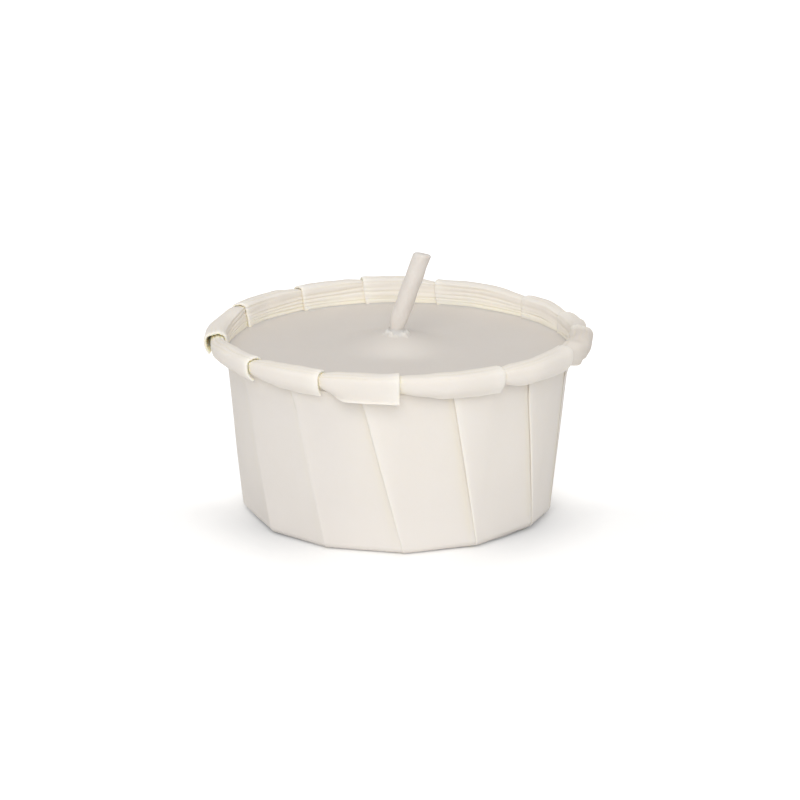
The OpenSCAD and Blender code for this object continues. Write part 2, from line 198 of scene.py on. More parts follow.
# The inner layer of a roll opens furthest, and the layers under it less and less
openShare = byKind(0.7 * along ** 1.5, 0.7 + 0.3 * along, np.ones(columns), 1 - 0.7 * along,
                   np.full(columns, 0.3), 0.3 - 0.2 * along)
startShare = byKind(0.1 * (1 - along), *[np.zeros(columns)] * 5)


def spread(key):                              # a pleat's value spread over its stations
    values = pleatList(key)
    return values[pleat + 1] * openShare + values[pleat] * startShare


def even(key):                                # a pleat's value blended along its panel
    values = pleatList(key)
    blend = values[pleat] + (values[pleat + 1] - values[pleat]) * smooth(along)
    return np.where(kind == 0, blend, values[pleat + 1])


springOf, growOf, longerOf, lowerOf = spread("spring"), spread("grow"), even("longer"), even("lower")
heelOf, pressOf = even("heel"), even("press")
# the strength of each fold's painted yellow shade, painted highlight and painted golden light
bandShadeOf, shineOf, foldPaintedGoldOf = (pleatList(key)[pleat + 1] for key in ("glow", "shine", "foldPaintedGold"))
startFoldPaintedGold = pleatList("foldPaintedGold")[pleat]
puffOf = np.where(kind == 0, pleatList("puff")[pleat], pleatList("puff")[pleat + 1])


def paperAt(p):
    # length along the paper at each station for place p: the wall loses what the rim is lower, and the
    # tail gains what the piece hangs longer
    p = p[:, None]
    past = np.clip((p - wallEndS - 2) / (edgeS - wallEndS - 2), 0, 1)
    return p - lowerOf * smooth((p - waxS) / (wallEndS - waxS)) + longerOf * past


def rimShare(s):
    return np.clip(s / wallEndS, 0, 1)


def creases(s):                               # angle of each crease at length s, in a table of s by pleat
    share = rimShare(s)[:, None]
    return creaseFoot * (1 - share) + creaseRim * share


def headings(s):
    # the paper's heading at length s: it turns up round the foot bend, runs straight up the wall, turns
    # back over the roll, faster at its top than at its sides, then less by the spring, and flares at its lip
    turned = np.maximum(s - wallEndS + lowerOf, 0) / (curlR * (1 + growOf))
    over = np.minimum(turned, math.pi)
    curl = (over - cup["squash"] / 2 * np.sin(2 * over) - cup["corners"] / 4 * np.sin(4 * over)
            + np.maximum(turned - math.pi, 0) * (1 - springOf))
    lip = smooth((s - edgeS - longerOf + lowerOf + cup["lip"]) / cup["lip"]) * math.radians(cup["lipTurn"])
    above = math.pi / 2 - taper - curl + lip * np.maximum(springOf, 0)
    return np.where(s < footEndS, s / cup["footBend"], above)


def cupLine(p):
    # radius, height and heading of the paper's middle: the heading's cosine and sine summed along it
    fine = np.linspace(0, edgeS, cup["lineSteps"])
    s = paperAt(fine)
    h = headings(s)
    step = np.diff(s, axis=0)
    r = footMidR + np.vstack([none, np.cumsum((np.cos(h[1:]) + np.cos(h[:-1])) / 2 * step, 0)])
    z = cup["paper"] / 2 + np.vstack([none, np.cumsum((np.sin(h[1:]) + np.sin(h[:-1])) / 2 * step, 0)])
    at = p / fine[1]
    low = np.clip(at.astype(int), 0, len(fine) - 2)
    part = (at - low)[:, None]
    radius, height = (values[low] * (1 - part) + values[low + 1] * part for values in (r, z))
    return radius, height, headings(paperAt(p))


def foldAngles(s, r):
    # the sheet was a flat disc: the pleats share what it has spare at that length
    spare = math.pi * (footMidR + s - r) / pleats
    return np.degrees(spare / r)[:, None] * foldShare


def dipAt(angle, corner, s):
    # the radius dips between two outer creases, as a chord does, by the share that is pressed flat
    flat = cup["flatFoot"] + (cup["flatMouth"] - cup["flatFoot"]) * rimShare(s)
    rounded = cup["softMost"] * smooth((s - footEndS) / cup["softReach"])
    dip = np.ones(angle.shape)
    for k in range(pleats):
        a, b = corner[:, k:k + 1], corner[:, k + 1:k + 2]
        w = np.mod(angle - a, 360) / (b - a)
        here = (w >= 0) & (w < 1)
        share = flat * (1 - rounded * cup["soft"][(k + 1) % pleats])
        sag = share[:, None] * (1 - np.cos(np.radians((b - a) / 2))) * 4 * w * (1 - w)
        dip = np.where(here, 1 - sag, dip)
    return dip


def crimpLines(s, angle):
    # narrow grooves that follow the rim, each straying a little and pressed less deep in places
    depth = np.zeros(angle.shape)
    theta = np.radians(angle)
    for i, start in enumerate(cup["crimps"]):
        stray = cup["crimpStray"] * waves(theta + pleat * 0.7, 0 * theta, cup["straySeed"] + i, 9, 1, 5)
        press = smooth(0.6 + 0.6 * waves(theta, 0 * theta, cup["pressSeed"] + i, 12, 1, 5))
        depth = depth + press * np.exp(-((s[:, None] - waxS - start - stray) / cup["crimpWidth"]) ** 2)
    return depth


def ridgeAt(s):
    return np.exp(-((s - wallEndS - cup["ridgeAt"]) / cup["ridgeWidth"]) ** 2)


def ripples(theta, s, key):                   # low waves of the depth and kind that the cup's key names
    depth, *kindOfWave = cup[key]
    return depth * waves(theta, s[:, None], *kindOfWave)


def cupRows(s, turn, side):
    # points of one face of the paper for lengths s. turn is 180 where the folds are shut, 90 where they
    # are half open and 0 in the flat bottom. side is 1 for the outer face and -1 for the inner one.
    # Each point is the paper's middle at its station, raised by the layers below it and by half a
    # thickness, at right angles to the paper
    r, z, h = cupLine(s)
    crease = creases(s)
    ref = r.min(1)
    fold = foldAngles(s, ref)
    corner = crease - fold
    arc = np.degrees(1 / ref)[:, None]        # degrees for each millimetre along the paper
    half = 0 if turn == 0 else layer / 2
    a, b, f = crease[:, pleat], crease[:, pleat + 1], fold[:, pleat + 1]
    full = math.radians(turn)
    if turn == 180:
        angle = byKind(a + (b - f - a) * along, b - f * (1 - along), b + arc * half * np.sin(full * along),
                       b - f * along, b - f - arc * half * np.sin(full * (1 - along)), b - f * (1 - along))
        lift = stack
    else:
        reach, run = (cup["openReach"], cup["openRun"]) if turn == 0 else (half, 0)
        lift = 0 if turn == 0 else openLift
        swing, room = half * math.sin(full), cup["openRoom"]
        angle = byKind(
            a + arc * (reach + room) + (b - a - 2 * arc * (reach + room)) * along,
            b - arc * (reach + room * (1 - along)),
            b + arc * (-reach + run * along + half * np.sin(full * along)),
            b + arc * (-reach + run + swing) * (1 - 2 * along),
            b + arc * (reach - run * (1 - along) - half * np.sin(full * (1 - along))),
            b + arc * (reach + room * along))
    bent = half * (1 - math.cos(full))
    level = byKind(lift * (1 - along) ** cup["shoulder"], none, half * (1 - np.cos(full * along)),
                   bent + (lift - 2 * bent) * along, lift - half * (1 - np.cos(full * (1 - along))),
                   none + lift)
    bend = byKind(none, none, full * along, full + none, full * (1 - along), none)
    stand = byKind(cup["puffPast"] * (1 - along) ** 4, none, none, along, none + 1,
                   1 - (1 - cup["puffPast"]) * along)
    puff = puffOf * stand * np.sin(math.pi * np.clip((s - footEndS) / (wallEndS - footEndS), 0, 1))[:, None]
    atWaxTop = smooth((s - waxS + cup["thinTop"]) / cup["thinTop"])
    gain = cup["thinAbove"] - cup["thinAtFoot"]
    thin = (cup["thinAtFoot"] + gain * smooth((s - footEndS) / cup["thinReach"])
            + (1 - cup["thinAbove"]) * atWaxTop)[:, None]
    thin = thin * (pressOf + (1 - pressOf) * atWaxTop[:, None])
    off = (level + side * np.cos(bend) * cup["paper"] / 2) * thin + puff
    theta = np.radians(angle)
    if turn == 180:
        aboveWax = smooth((s - waxS) / 2)[:, None]
        dent = ripples(theta, s, "dent")
        for at, width, depth in cup["crush"]:
            near = np.exp(-((np.mod(angle - at + 180, 360) - 180) / width) ** 2)
            folds = np.abs(waves(theta, s[:, None], *cup["crushWaves"])) - cup["crushLevel"]
            dent = dent + depth * near * folds
        off = off + cup["crimpDepth"] * crimpLines(s, angle) + ripples(theta, s, "ripple")
        off = off + aboveWax * (ripples(theta, s, "rollRipple") + dent)
        off = off - cup["ridge"] * ridgeAt(s)[:, None]
    pastHeel = s - footEndS * cup["heelAt"]
    heelRun = cup["heelBelow"] + cup["heelAbove"] * smooth(pastHeel / cup["heelTurn"])
    heel = heelOf * np.exp(-(pastHeel / heelRun) ** 2)[:, None]
    radius, height = r + off * np.sin(h), z - off * np.cos(h) + heel
    angle = angle - side * np.sin(bend) * arc * cup["paper"] / 2
    radius = radius * dipAt(angle, corner, s)
    theta = np.radians(angle)
    return np.stack([radius * np.sin(theta), -radius * np.cos(theta), height], -1)


def clearS(lift, spare):                      # how far round the foot bend this lift just clears the table
    half = cup["paper"] / 2
    clear = math.acos((cup["footBend"] + half) / (cup["footBend"] + lift + half))
    return (clear + math.radians(spare)) * cup["footBend"]


openS, shutS = clearS(openLift, cup["openSpare"]), clearS(stack, cup["shutSpare"])


def rowPlaces():
    # where the rows of points lie along the paper: the end of each run, and how many rows it has
    runs = [(footEndS, 7), (waxS - 0.3, 12), (wallEndS + 2.6, 56), (wallEndS + math.pi * curlR, 6),
            (edgeS - 0.4, 8)]
    places, start = [], shutS
    for end, count in runs:
        places += [np.linspace(start, end, count)[:-1]]
        start = end
    return np.concatenate([*places, np.linspace(start, edgeS, 6)])


rowS = rowPlaces()


def cupFace(side):
    return np.concatenate([cupRows(np.array([0.0]), 0, side), cupRows(np.array([openS]), 90, side),
                           cupRows(rowS, 180, side)])


def cupMasks(inner):
    # masks for the colour, each for the outer face and the inner one, all of them painted light and shade:
    # painted yellow shade beside each fold and along the score lines, painted golden light inside the folds,
    # the roll and low on the inner wall, painted light at the foot and above the wax, painted shade on the
    # crumpled end of the roll, and painted highlights on the edges
    full = none + 1
    endFall, foldFall, startFall = cup["paintedGoldFall"]
    panelEnd, foldEnd = np.exp((along - 1) * endFall), np.exp((along - 1) * foldFall)
    panelStart = np.exp(-along * startFall)
    # painted yellow shade on the wall beside each fold
    band = bandShadeOf * byKind(np.exp((along - 1) * cup["bandShadeFall"]), none, none, none, none, none)
    # painted golden light inside the folds and under their edges
    deep = [byKind(panelEnd, foldEnd, full, full, 0.3 * (1 - along), none),
            byKind(startFoldPaintedGold * panelStart, none, foldPaintedGoldOf * (along > 0.5), full, full, full)]
    # painted highlights on the fold's edges
    lip = [shineOf * byKind(none, none, none, none, 0.7 * along, 0.7 * np.exp(-along * 4)),
           byKind(none, np.exp((along - 1) * 6), along <= 0.5, none, none, none)]
    s = np.concatenate([[0, openS], rowS])
    # a painted highlight along the paper's free edge
    nearEdge = np.exp((s - edgeS) / cup["edgeReach"])[:, None]
    onWall = (smooth((s - footEndS) / 2) * (1 - smooth((s - wallEndS + 0.5) / 1)))[:, None]
    inRoll = smooth((s - wallEndS + 0.3) / 0.8)[:, None]
    aboveWax = smooth((s - waxS) / 0.5)[:, None]
    # painted golden light on the inner wall just above the wax
    lowWall = (cup["lowPaintedGold"] * np.exp(-np.abs(s - waxS - 0.3) / cup["lowReach"]))[:, None]
    angle = np.degrees(np.arctan2(inner[..., 0], -inner[..., 1]))
    # painted shade along the score lines
    lines = np.clip(crimpLines(s, angle), 0, 1) * aboveWax
    # painted shade on the crumpled end of the roll
    endShade = np.exp(-((angle - cup["endShadeAt"]) / cup["endShadeWidth"]) ** 2) * smooth((s - wallEndS) / 0.8)[:, None]
    return {
        # painted yellow shade beside the folds and along the score lines
        "crease": [band * onWall, cup["lineShade"] * lines],
        # painted golden light inside the folds, the roll and low on the inner wall
        "paintedGold": [np.maximum(deep[0], cup["rollPaintedGold"] * inRoll), np.maximum(deep[1], lowWall)],
        # painted light at the foot and on the inner wall above the wax
        "paintedLight": [cup["footPaintedLight"] * (1 - smooth((s - 1) / 6))[:, None] + none, aboveWax * (1 - inRoll) + none],
        # painted shade on the crumpled end of the roll
        "endShade": [none * onWall, endShade],
        # painted highlights on the free edge, the roll's ridge and the fold's edges
        "edge": [np.maximum(nearEdge, lip[0]),
                 np.maximum(np.maximum(nearEdge, cup["ridgeHighlight"] * ridgeAt(s)[:, None]), lip[1] * aboveWax)],
    }


def makeCup():
    outer, inner = cupFace(1), cupFace(-1)
    rows = len(outer)
    points = np.concatenate([outer.reshape(-1, 3), inner.reshape(-1, 3), [[0, 0, 0], [0, 0, cup["paper"]]]])
    size = rows * columns
    i = np.arange(columns)
    j = (i + 1) % columns
    last = (rows - 1) * columns
    edge = np.stack([last + i, last + j, size + last + j, size + last + i], -1).tolist()
    faces = (ringFaces(rows, columns) + ringFaces(rows, columns, size, True) + edge
             + fanFaces(2 * size, 0, columns) + fanFaces(2 * size + 1, size, columns, True))
    masks = {key: np.concatenate([*(mask.reshape(-1) for mask in bothFaces), [0, 0]])
             for key, bothFaces in cupMasks(inner).items()}
    return makeMesh("paperCup", points, faces, masks)


paperCup = makeCup()
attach(paperCup, "root")
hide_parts("paper_cup")
print("paper cup made")


# The wax and the wick

wax = {
    "mound": 1.2, "reach": 7,                 # how far it rises round the wick, and the radius of that
    "meniscus": 0.14, "gap": 0.03,            # its climb at the paper, and its clearance
    "collar": 0.75, "collarReach": 0.16,      # how the wax climbs the wick
    "swells": 9, "swellHeight": 0.012, "swellLength": (3, 11),   # broad low waves on its face
    "crumbs": 40, "crumbSize": 0.2, "crumbSpan": (0.5, 1.2), "crumbHeight": 0.9,
    "crumbFrom": 0.3, "crumbSpread": 0.22,    # how far from the wick the crumbs lie
    "underside": 0.09, "tuck": 0.06,          # its clearance at the bottom and extra clearance on the wall
    "brim": 0.16, "brimHeight": 0.05, "brimRun": 0.5,   # the rounded edge at the paper
    "crumbEnd": 0.45, "crumbFade": 0.2,       # where the crumbs' colour ends, from the wick
    "slopeLightAt": (0.3, -4.4), "slopeLightHalf": (3.4, 2.6),     # painted light on the wax's slope in front of the wick
}
wick = {
    "diameter": 1.65, "out": 9.03, "lean": 22.5, "turn": 28, "bend": 4, "x": -0.2, "y": 2.2,
    "slim": 0.985,                            # the share of its radius that it has in the wax
    "strand": 0.05, "strandTwist": 1.1, "strandSink": 0.02,   # height, twist and depth of its strands
    "rough": (0.015, 5, 7, 2.5, 8),           # a depth and the last four values of waves
    "swell": 0.18, "swellFrom": 0.55, "swellRun": 1.3,   # how much wider it is above the collar of wax
    "cut": 11, "cutRun": 1.6,                 # slant of the cut end, from square
    "tip": 0.22, "tipShrink": 0.13,           # its end is rounded over this length
    "cap": [(0.7, 0.03), (0.45, 0.05), (0.2, 0.04)], "capRough": 0.03,   # radius share and rise of each ring
    "around": 72,
}
# the wick's foot keeps its solid's shape, and the wax leaves a pocket for it
foot = {"disc": 12.5, "tin": 0.2, "neck": 3.4, "neckBend": 0.4, "grip": 0.02}

wickAt = np.array([wick["x"], wick["y"]])
wickR = wick["diameter"] / 2
crestZ = waxZ + wax["mound"]
inside = np.nonzero(kind <= 1)[0]             # the stations that the wax touches, in order round the cup


def waxHeight(x, y):
    # half a cosine wave from the edge of the mound up to the wick, a steeper climb on the wick itself,
    # broad low waves all over, and round lumps where crumbs lie at the wick
    dx, dy = x - wickAt[0], y - wickAt[1]
    d = np.hypot(dx, dy)
    z = waxZ + wax["mound"] * (1 + np.cos(math.pi * np.clip(d / wax["reach"], 0, 1))) / 2
    z = z + wax["collar"] * np.exp(-np.maximum(d - wickR, 0) / wax["collarReach"])
    pick = np.random.default_rng(7)
    for _ in range(wax["swells"]):
        way, length = pick.uniform(0, 2 * math.pi), pick.uniform(*wax["swellLength"])
        phase = pick.uniform(0, 2 * math.pi)
        ahead = dx * math.cos(way) + dy * math.sin(way)
        z = z + wax["swellHeight"] * np.sin(ahead * 2 * math.pi / length + phase)
    for _ in range(wax["crumbs"]):
        way = pick.uniform(0, 2 * math.pi)
        far = wickR + wax["crumbFrom"] + abs(pick.normal(0, wax["crumbSpread"]))
        size = wax["crumbSize"] * pick.uniform(*wax["crumbSpan"])
        gap = np.hypot(dx - far * math.cos(way), dy - far * math.sin(way)) / size
        z = z + size * wax["crumbHeight"] * np.exp(-gap ** 2)
    return z


def makeWax():
    # rows from the foot pocket out along the bottom, up the paper, in over the face, and down the bore.
    # They start at the paper's own angles and come to even ones at the wick
    n = len(inside)
    rim = cupRows(np.array([waxS]), 180, -1)[0, inside]
    angle = np.unwrap(np.arctan2(rim[:, 0], -rim[:, 1]))
    turn = angle[0] + np.linspace(0, 2 * math.pi, n, endpoint=False)

    def ring(radius, turn):
        return np.stack([wickAt[0] + radius * np.sin(turn), wickAt[1] - radius * np.cos(turn)], -1)

    def flat(xy, z):
        return np.concatenate([xy, np.full((n, 1), z)], 1)

    def shrink(row, room):
        r = np.hypot(row[:, 0], row[:, 1])[:, None]
        return np.concatenate([row[:, :2] * (r - room) / r, row[:, 2:]], 1)

    tinZ, room, tuck = cup["paper"], wax["gap"], wax["tuck"]
    boreR, neckTop = wickR + room, tinZ + foot["neck"] + room
    neckR = wickR + foot["grip"] + foot["tin"] + room
    discR = foot["disc"] / 2 + room
    bottomZ = cup["paper"] + wax["underside"]
    bendR, bendZ = neckR + foot["neckBend"] - room, tinZ + foot["tin"] + foot["neckBend"]
    rise = cupRows(rowS[rowS < waxS - 0.5], 180, -1)[:, inside]
    lip = cupRows(np.array([waxS + wax["meniscus"]]), 180, -1)[0, inside]
    rows = [flat(ring(discR, angle), bottomZ)]
    rows += [flat(np.stack([footMidR * np.sin(angle), -footMidR * np.cos(angle)], -1), bottomZ)]
    rows += [shrink(row, room + tuck) + [0, 0, tuck] for row in rise]
    rows += [shrink(lip, room), flat(shrink(lip, wax["brim"])[:, :2], waxZ + wax["brimHeight"])]
    start = shrink(lip, wax["brimRun"])[:, :2]
    share = np.concatenate([np.linspace(0, 0.56, 18)[:-1], np.linspace(0.56, 0.88, 18)[:-1],
                            np.linspace(0.88, 1, 32)])
    for part in share:
        xy = start * (1 - part) + ring(boreR, angle * (1 - part) + turn * part) * part
        rows += [np.concatenate([xy, waxHeight(xy[:, 0], xy[:, 1])[:, None]], 1)]
    rows += [flat(ring(boreR, turn), crestZ - 0.5), flat(ring(boreR, turn), neckTop)]
    rows += [flat(ring(neckR, turn), neckTop)]
    for a in np.radians([180, 210, 240, 270]):
        rows += [flat(ring(bendR + (foot["neckBend"] - room) * math.cos(a), turn),
                      bendZ + (foot["neckBend"] - room) * math.sin(a))]
    rows += [flat(ring(discR, turn), tinZ + foot["tin"] + room)]
    points = np.array(rows)
    count = len(points)
    i = np.arange(n)
    j = (i + 1) % n
    last = (count - 1) * n
    faces = ringFaces(count, n) + np.stack([last + i, last + j, j, i], -1).tolist()
    # masks for the colour: the crumbs at the wick, and painted light on the slope in front of it
    points = points.reshape(-1, 3)
    x, y = points[:, 0] - wickAt[0], points[:, 1] - wickAt[1]
    slopeLightX, slopeLightY = ((value - at) / half for value, at, half in zip((x, y), wax["slopeLightAt"], wax["slopeLightHalf"]))
    masks = {"crumb": np.exp(-np.maximum(np.hypot(x, y) - wickR - wax["crumbEnd"], 0) / wax["crumbFade"]),
             "slopeLight": np.exp(-(slopeLightX ** 2 + slopeLightY ** 2))}
    return makeMesh("waxFill", points, faces, masks)


waxFill = makeWax()
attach(waxFill, "root")
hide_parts("wax")
print("wax made")


def makeWick():
    # a tube carried along a path: upright, round a bend, then straight and leaning. Its radius varies
    # with low waves and three soft strands, and the end is cut on a slant
    around, turn, lean = wick["around"], math.radians(wick["turn"]), math.radians(wick["lean"])
    bendLength = wick["bend"] * lean
    upright = crestZ - cup["paper"]
    total = upright + wick["out"]
    length = np.concatenate([
        np.linspace(0, upright - 1, 12)[:-1], np.linspace(upright - 1, total - 0.3, 110)[:-1],
        np.linspace(total - 0.3, total, 8)])
    bent = np.clip((length - upright) / wick["bend"], 0, lean)
    past = np.maximum(length - upright - bendLength, 0)
    out = wick["bend"] * (1 - np.cos(bent)) + past * np.sin(bent)
    high = cup["paper"] + np.minimum(length, upright) + wick["bend"] * np.sin(bent) + past * np.cos(bent)
    centre = np.stack([wickAt[0] + out * math.cos(turn), wickAt[1] + out * math.sin(turn), high], -1)
    ahead = np.stack([np.sin(bent) * math.cos(turn), np.sin(bent) * math.sin(turn), np.cos(bent)], -1)
    across = np.stack([np.cos(bent) * math.cos(turn), np.cos(bent) * math.sin(turn), -np.sin(bent)], -1)
    beside = np.broadcast_to([-math.sin(turn), math.cos(turn), 0], across.shape)
    phi = np.linspace(0, 2 * math.pi, around, endpoint=False)[None]
    at = length[:, None]
    shown = smooth((at - upright + 0.5) / 1)
    strands = np.abs(np.sin(1.5 * phi + at * wick["strandTwist"])) * wick["strand"]
    depth, *kindOfWave = wick["rough"]
    radius = wickR * (wick["slim"] - shown * (wick["strandSink"] - strands)
                      + shown * depth * waves(phi, at, *kindOfWave))
    radius = radius * (1 + wick["swell"] * smooth((at - upright - wick["swellFrom"]) / wick["swellRun"]))
    radius = radius * (1 - wick["tipShrink"] * smooth((at - total + wick["tip"]) / wick["tip"]) ** 3)
    slope = math.tan(math.radians(wick["cut"]))
    slant = smooth((at - total + wick["cutRun"]) / wick["cutRun"]) * np.cos(phi) * radius * slope
    points = (centre[:, None] + across[:, None] * (radius * np.cos(phi))[..., None]
              + beside[:, None] * (radius * np.sin(phi))[..., None] + ahead[:, None] * slant[..., None])
    rows = [*points]
    for share, rise in wick["cap"]:
        rough = wick["capRough"] * np.sin(5 * phi[0] + 9 * share)
        rows += [centre[-1] + (points[-1] - centre[-1]) * share
                 + ahead[-1] * (rise + rough * (1 - share))[:, None]]
    count = len(rows)
    size = count * around
    ends = [centre[0], centre[-1] + ahead[-1] * wick["cap"][-1][1]]
    faces = (ringFaces(count, around) + fanFaces(size, 0, around)
             + fanFaces(size + 1, size - around, around, True))
    return makeMesh("waxedWick", np.concatenate([*rows, ends]), faces)


waxedWick = makeWick()
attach(waxedWick, "root")
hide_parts("wick")
print("wick made")


# Materials

# painted light and shade among these: the paper's pale and golden colours and the wax's lighter patch colour
# are painted light, the paper's edge colour is a painted highlight, and its crease and dull colours are
# painted shade
colours = {
    "paper": (0.855, 0.797, 0.732), "paperPaintedLight": (0.93, 0.87, 0.80), "paperDeep": (0.79, 0.715, 0.60),
    "paperFoldShade": (0.80, 0.715, 0.55), "paperPaintedGold": (0.99, 0.91, 0.69), "paperEdgeHighlight": (0.96, 0.91, 0.83),
    "paperEndShade": (0.70, 0.635, 0.57),
    "wax": (0.68, 0.63, 0.578), "waxPale": (0.715, 0.67, 0.62), "waxSlopeLight": (0.76, 0.715, 0.66),
    "crumb": (0.78, 0.74, 0.685),
    "wick": (0.78, 0.735, 0.69), "wickDeep": (0.72, 0.665, 0.60),
    "tin": (0.55, 0.55, 0.53), "tinDark": (0.40, 0.40, 0.39),
}


def newMaterial(name):
    material = bpy.data.materials.new(name)
    material.use_nodes = True
    nodes = material.node_tree.nodes
    return material, nodes, material.node_tree.links, nodes["Principled BSDF"]


def setInputs(node, values):
    for name, value in values.items():
        node.inputs[name].default_value = value


def maths(nodes, links, operation, *values):  # each value is a number or a socket
    node = nodes.new("ShaderNodeMath")
    node.operation = operation
    for value, socket in zip(values, node.inputs):
        if isinstance(value, (int, float)):
            socket.default_value = value
        else:
            links.new(value, socket)
    return node.outputs[0]


def mapRange(nodes, links, source, ends=(0, 1), to=(0, 1), eased=False):
    node = nodes.new("ShaderNodeMapRange")
    node.interpolation_type = "SMOOTHSTEP" if eased else "LINEAR"
    links.new(source, node.inputs[0])
    for value, socket in zip((*ends, *to), node.inputs[1:5]):
        socket.default_value = value
    return node.outputs[0]


def mixColour(nodes, links, amount, first, second, factor=1.0):
    # mixes two colours, or a colour socket and a colour, by a mask times a factor
    mix = nodes.new("ShaderNodeMix")
    mix.data_type = "RGBA"
    links.new(maths(nodes, links, "MULTIPLY", amount, factor), mix.inputs[0])
    for value, socket in ((first, mix.inputs[6]), (second, mix.inputs[7])):
        if isinstance(value, tuple):
            socket.default_value = (*value, 1)
        else:
            links.new(value, socket)
    return mix.outputs[2]


def mottleGroup():
    # two sizes of noise in object space, as a mask for colour and a height for bump
    group = bpy.data.node_groups.new("mottle", "ShaderNodeTree")
    for name, value in (("Large", 300.0), ("Small", 3000.0), ("Stretch", 1.0), ("Balance", 0.5)):
        group.interface.new_socket(name, in_out="INPUT", socket_type="NodeSocketFloat").default_value = value
    for name in ("Mask", "Height"):
        group.interface.new_socket(name, in_out="OUTPUT", socket_type="NodeSocketFloat")
    nodes, links = group.nodes, group.links
    start, end = nodes.new("NodeGroupInput"), nodes.new("NodeGroupOutput")
    place = nodes.new("ShaderNodeTexCoord")
    scale = nodes.new("ShaderNodeCombineXYZ")
    setInputs(scale, {"X": 1, "Y": 1})
    links.new(start.outputs["Stretch"], scale.inputs[2])
    size = nodes.new("ShaderNodeVectorMath")
    size.operation = "MULTIPLY"
    links.new(place.outputs["Object"], size.inputs[0])
    links.new(scale.outputs[0], size.inputs[1])
    blend = nodes.new("ShaderNodeMix")
    links.new(start.outputs["Balance"], blend.inputs[0])
    for name, detail, socket in (("Large", 3, blend.inputs[2]), ("Small", 4, blend.inputs[3])):
        noise = nodes.new("ShaderNodeTexNoise")
        setInputs(noise, {"Detail": detail})
        links.new(size.outputs[0], noise.inputs["Vector"])
        links.new(start.outputs[name], noise.inputs["Scale"])
        links.new(noise.outputs["Fac"], socket)
    links.new(mapRange(nodes, links, blend.outputs[0], ends=(0.35, 0.65)), end.inputs["Mask"])
    links.new(blend.outputs[0], end.inputs["Height"])
    return group


mottle = mottleGroup()


def addMottle(nodes, **values):
    node = nodes.new("ShaderNodeGroup")
    node.node_tree = mottle
    setInputs(node, values)
    return node


def addRoughness(nodes, links, mask, to, shader):
    links.new(mapRange(nodes, links, mask.outputs["Mask"], to=to), shader.inputs["Roughness"])


def addBump(nodes, links, mask, distance, strength, shader):
    bump = nodes.new("ShaderNodeBump")
    setInputs(bump, {"Distance": distance, "Strength": strength})
    links.new(mask.outputs["Height"], bump.inputs["Height"])
    links.new(bump.outputs[0], shader.inputs["Normal"])


def attribute(nodes, name):
    node = nodes.new("ShaderNodeAttribute")
    node.attribute_name = name
    return node.outputs["Fac"]


def paperMaterial():
    material, nodes, links, shader = newMaterial("ivoryPaper")
    cloud = addMottle(nodes, Large=260.0, Small=2600.0, Stretch=0.7, Balance=0.4)
    fibre = addMottle(nodes, Large=2200.0, Small=9000.0, Stretch=1.0, Balance=0.6)
    paintedGold = attribute(nodes, "paintedGold")
    base = mixColour(nodes, links, cloud.outputs["Mask"], colours["paper"], colours["paperDeep"], 0.12)
    # painted light and shade on the paper: the pale and golden colours are painted light, the edge colour is a
    # painted highlight, and the dull and crease colours are painted shade
    for mask, colour, factor in (
            (attribute(nodes, "paintedLight"), "paperPaintedLight", 1.0), (attribute(nodes, "endShade"), "paperEndShade", 0.9),
            (attribute(nodes, "crease"), "paperFoldShade", 0.9), (paintedGold, "paperPaintedGold", 1.0),
            (attribute(nodes, "edge"), "paperEdgeHighlight", 0.8)):
        base = mixColour(nodes, links, mask, base, colours[colour], factor)
    links.new(base, shader.inputs["Base Color"])
    # light that passes through the paper shows most where little else reaches it, inside the folds
    links.new(mapRange(nodes, links, paintedGold, to=(0.15, 0.8)), shader.inputs["Subsurface Weight"])
    setInputs(shader, {"Specular IOR Level": 0.25, "Subsurface Radius": (1, 0.85, 0.6),
                       "Subsurface Scale": 0.00025})
    addRoughness(nodes, links, fibre, (0.62, 0.8), shader)
    addBump(nodes, links, fibre, 0.00003, 0.5, shader)
    return material


def waxMaterial():
    material, nodes, links, shader = newMaterial("candleWax")
    cloud = addMottle(nodes, Large=140.0, Small=900.0, Stretch=1.0, Balance=0.35)
    grain = addMottle(nodes, Large=900.0, Small=6000.0, Stretch=1.0, Balance=0.5)
    base = mixColour(nodes, links, cloud.outputs["Mask"], colours["wax"], colours["waxPale"], 0.35)
    # painted light on the wax's slope in front of the wick
    base = mixColour(nodes, links, attribute(nodes, "slopeLight"), base, colours["waxSlopeLight"], 1.0)
    base = mixColour(nodes, links, attribute(nodes, "crumb"), base, colours["crumb"], 0.9)
    links.new(base, shader.inputs["Base Color"])
    setInputs(shader, {"Subsurface Weight": 0.35, "Subsurface Radius": (1, 0.85, 0.7),
                       "Subsurface Scale": 0.0015, "IOR": 1.44})
    addRoughness(nodes, links, grain, (0.42, 0.55), shader)
    addBump(nodes, links, grain, 0.00004, 0.4, shader)
    return material


def wickMaterial():
    material, nodes, links, shader = newMaterial("waxedCotton")
    cloud = addMottle(nodes, Large=700.0, Small=4000.0, Stretch=0.5, Balance=0.45)
    base = mixColour(nodes, links, cloud.outputs["Mask"], colours["wick"], colours["wickDeep"], 0.6)
    links.new(base, shader.inputs["Base Color"])
    setInputs(shader, {"Subsurface Weight": 0.25, "Subsurface Radius": (1, 0.85, 0.7),
                       "Subsurface Scale": 0.0006})
    addRoughness(nodes, links, cloud, (0.38, 0.55), shader)
    addBump(nodes, links, cloud, 0.00008, 0.5, shader)
    return material


